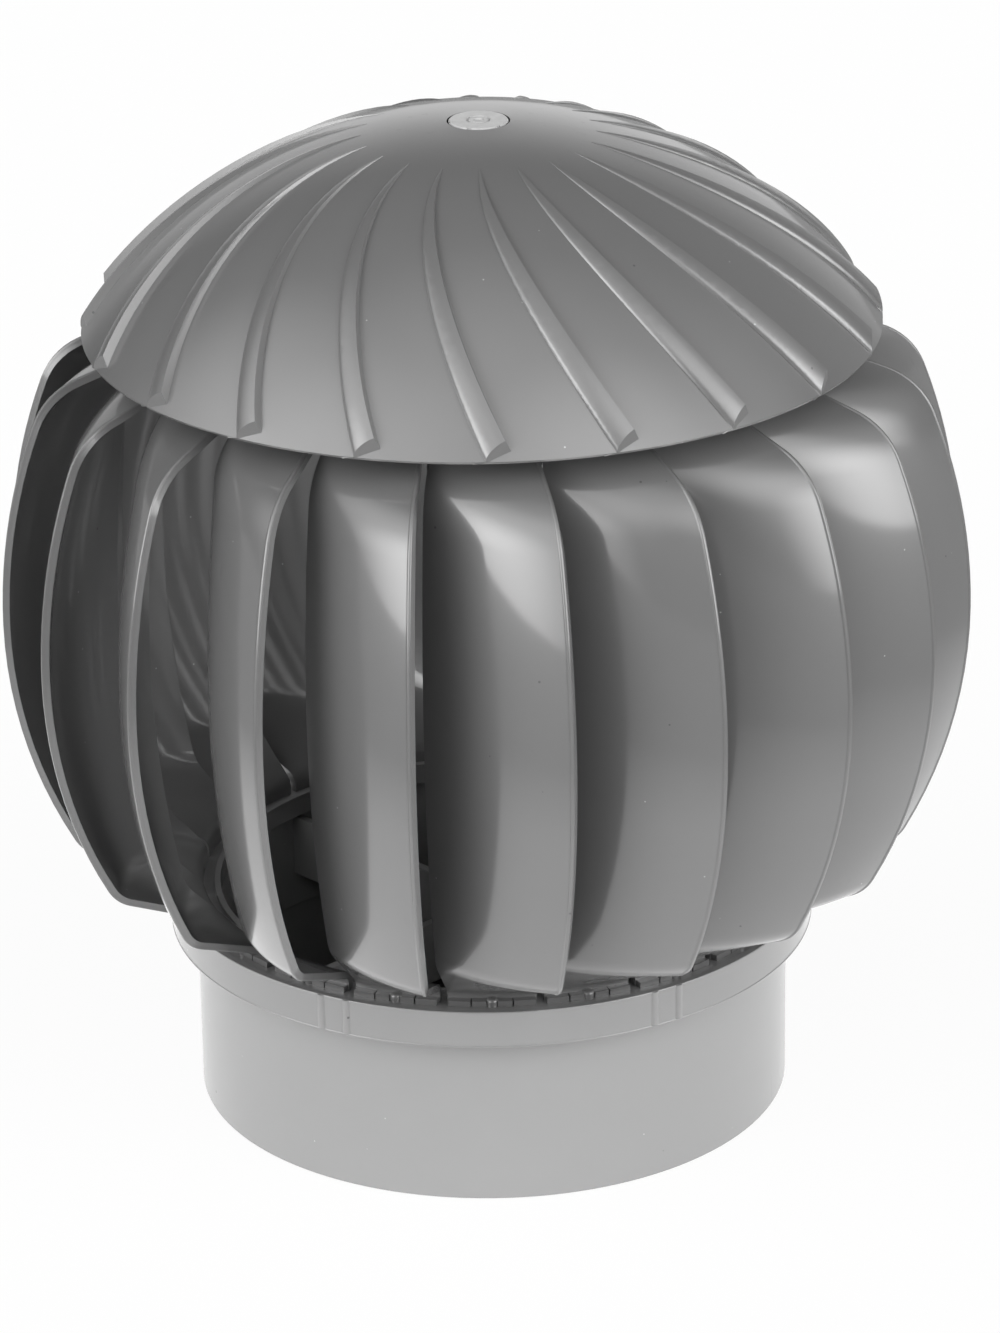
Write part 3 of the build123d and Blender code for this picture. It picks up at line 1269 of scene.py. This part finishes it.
def disc(name: str, radius: float, depth: float, finish: Finish) -> None:
    """Lays a flat disc of the stage under the cowl's foot.

    Args:
        name: of the disc.
        radius: in metres.
        depth: how far it lies under the foot, in metres.
        finish: what it is dressed in.
    """
    sheet = bmesh.new()
    bmesh.ops.create_circle(sheet, cap_ends=True, radius=radius, segments=DISC_SEGMENTS)
    mesh = bpy.data.meshes.new(name)
    sheet.to_mesh(mesh)
    sheet.free()
    laid = bpy.data.objects.new(name, mesh)
    laid.location.z = CAD_BOX[0].z - depth
    bpy.context.scene.collection.objects.link(laid)
    mesh.materials.append(finish.material())


@dataclass(frozen=True)
class LightTable:
    """A round lamp in the table top, which lights the cowl from below.

    Attributes:
        radius: of the lamp, in metres.
        radiance: of its surface, where 1 is white.
        depth: how far it lies under the cowl's foot, in metres.
        mask_radius: of the black mask that keeps the light out of the tube, in metres.
        mask_depth: how far the mask lies under the foot, in metres.
    """

    radius: float = 0.50
    radiance: float = 0.17
    depth: float = 0.0003
    mask_radius: float = 0.0965
    mask_depth: float = 0.0001

    def build(self) -> None:
        """Builds the lamp, facing up, and the mask."""
        lamp = bpy.data.lights.new("light_table", "AREA")
        lamp.shape = "DISK"
        lamp.size = 2 * self.radius
        lamp.energy = self.radiance * (math.pi * self.radius) ** 2
        holder = bpy.data.objects.new("light_table", lamp)
        holder.location.z = CAD_BOX[0].z - self.depth
        holder.rotation_euler.x = math.pi
        bpy.context.scene.collection.objects.link(holder)
        disc("tube_mask", self.mask_radius, self.mask_depth, FELT)


@dataclass
class Studio:
    """Floor, light table, softly lit surroundings and camera.

    Attributes:
        floor_radius: of the round floor, in metres.
        floor_depth: how far it lies under the cowl's foot, in metres.
        surround: linear grey of the unlit surroundings.
        glows: the lit patches of the surroundings.
    """

    floor_radius: float = 6.0
    floor_depth: float = 0.0005
    surround: float = 0.02
    glows: Sequence[Glow] = (
        Glow(60.0, 6.0, 5.4), Glow(40.0, 34.0, 2.3), Glow(0.0, 64.0, 1.0, width=45.0),
        Glow(-58.0, 6.0, 5.1), Glow(-80.0, 34.0, 1.8), Glow(-40.0, 34.0, 1.5),
        Glow(80.0, 34.0, 0.55), Glow(180.0, 6.0, 0.8), Glow(150.0, 6.0, 0.3))

    def build(self) -> None:
        """Builds floor, surroundings, lamp and camera."""
        disc("paper_floor", self.floor_radius, self.floor_depth, PAPER)
        self.world()
        LightTable().build()
        PhotoCamera().build()

    def world(self) -> None:
        """Lights the surroundings softly, and shows them white to the camera."""
        world = bpy.data.worlds.new("studio")
        bpy.context.scene.world = world
        world.use_nodes = True
        graph = Graph(world.node_tree)
        toward = graph.node("ShaderNodeTexCoord").outputs["Generated"]
        level = sum((glow.level(graph, toward) for glow in self.glows), self.surround)
        camera = Value(graph, graph.node("ShaderNodeLightPath").outputs["Is Camera Ray"])
        back = graph.node("ShaderNodeBackground", None, {
            "Color": (1, 1, 1, 1), "Strength": level * (1 - camera) + camera})
        graph.node("ShaderNodeOutputWorld", None, {"Surface": back.outputs[0]})


def main() -> None:
    """Builds the sub-assemblies and the studio in order and reports each."""
    logging.basicConfig(level=logging.INFO, format="%(name)s: %(message)s")
    bpy.context.scene.view_settings.view_transform = "Standard"
    for assembly in (Stator(), Rotor(), Blades(), SwirlCap(), RingEdges()):
        LOG.info("%s: %d pieces", type(assembly).__name__, assembly.build())
    Studio().build()


if __name__ == "__main__":
    main()
